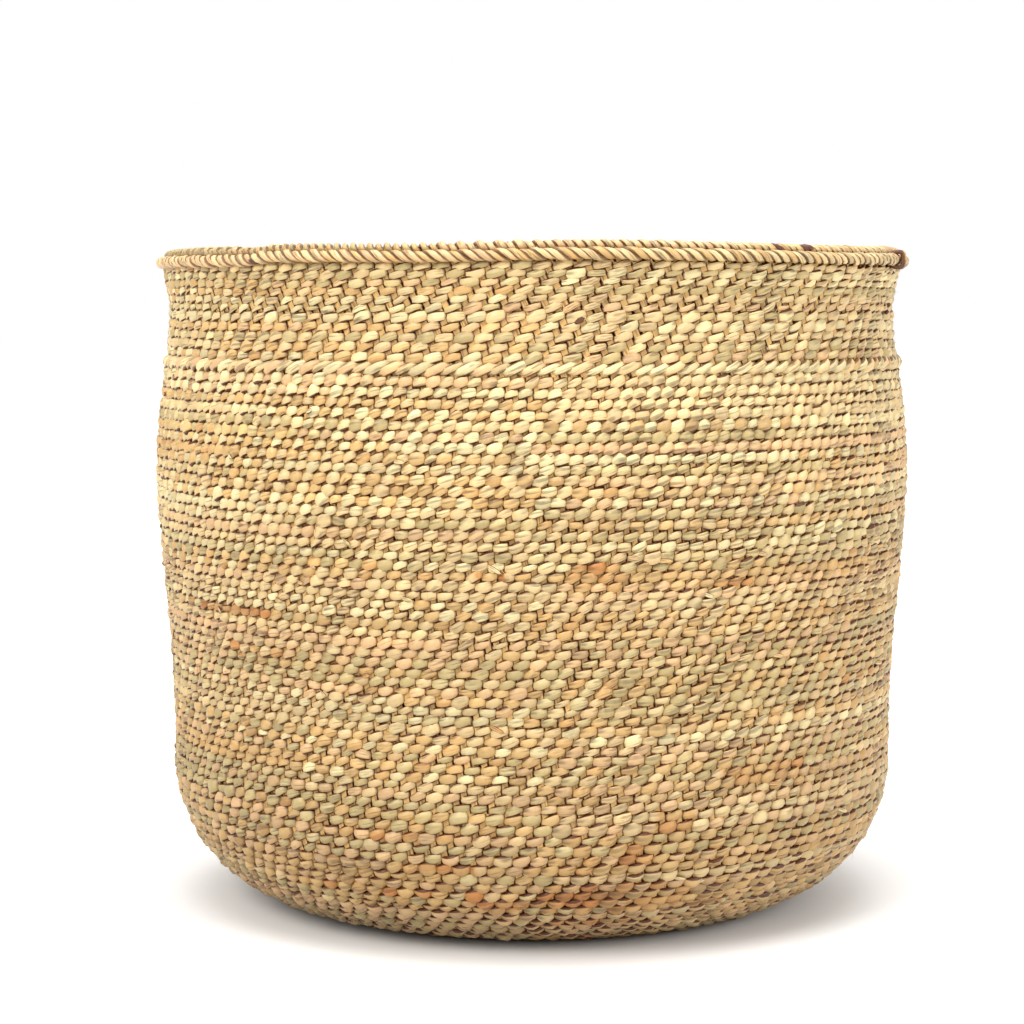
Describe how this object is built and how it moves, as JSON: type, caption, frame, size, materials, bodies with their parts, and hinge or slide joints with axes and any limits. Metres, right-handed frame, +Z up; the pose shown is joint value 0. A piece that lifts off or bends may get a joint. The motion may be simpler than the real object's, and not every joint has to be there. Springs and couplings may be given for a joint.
{
  "type": "iringa basket",
  "caption": "Large round open basket of twined dry reed with a flat base, gently bellied wall, accent wale, narrowed neck and corded rim, for storage, laundry or a potted plant.",
  "frame": {"origin": "on the floor, under the middle of the base", "axes": "+Z up along the basket's axis, -Y to the front of the pictured view, +X to the viewer's right"},
  "size_m": [0.4, 0.4, 0.3457],
  "materials": {
    "stake": "dry split reed, matt, undyed",
    "outer_weft": "sun-dried reed strand, satin straw colour with olive and rust lengths",
    "inner_weft": "sun-dried reed strand, satin, a little darker than the outside",
    "accent_wale": "sun-dried reed strand, satin, peach to straw",
    "rim_cord": "twisted sun-dried reed strand, satin, pale straw",
    "lashing": "dark brown reed strand, matt"
  },
  "bodies": {
    "root": {"stake_across_1": "stake", "stake_across_2": "stake", "stake_across_3": "stake", "stake_across_4": "stake", "stake_across_5": "stake", "stake_across_6": "stake", "stake_across_7": "stake", "stake_across_8": "stake", "stake_across_9": "stake", "stake_along_1": "stake", "stake_along_2": "stake", "stake_along_3": "stake", "stake_along_4": "stake", "stake_along_5": "stake", "stake_along_6": "stake", "stake_along_7": "stake", "stake_along_8": "stake", "stake_along_9": "stake", "outer_base_weft_1": "outer_weft", "outer_base_weft_2": "outer_weft", "outer_corner_weft_1": "outer_weft", "outer_corner_weft_2": "outer_weft", "outer_wall_weft_1": "outer_weft", "outer_wall_weft_2": "outer_weft", "outer_wall_weft_3": "outer_weft", "outer_wall_weft_4": "outer_weft", "outer_wall_weft_5": "outer_weft", "outer_neck_weft_1": "outer_weft", "outer_neck_weft_2": "outer_weft", "inner_base_weft_1": "inner_weft", "inner_base_weft_2": "inner_weft", "inner_corner_weft_1": "inner_weft", "inner_corner_weft_2": "inner_weft", "inner_wall_weft_1": "inner_weft", "inner_wall_weft_2": "inner_weft", "inner_wall_weft_3": "inner_weft", "inner_wall_weft_4": "inner_weft", "inner_wall_weft_5": "inner_weft", "inner_neck_weft_1": "inner_weft", "inner_neck_weft_2": "inner_weft", "outer_accent_wale": "accent_wale", "inner_accent_wale": "inner_weft", "rim_outer_cord": "rim_cord", "rim_inner_cord": "rim_cord", "rim_top_cord": "rim_cord", "rim_lashing": "lashing"}
  },
  "joints": []
}
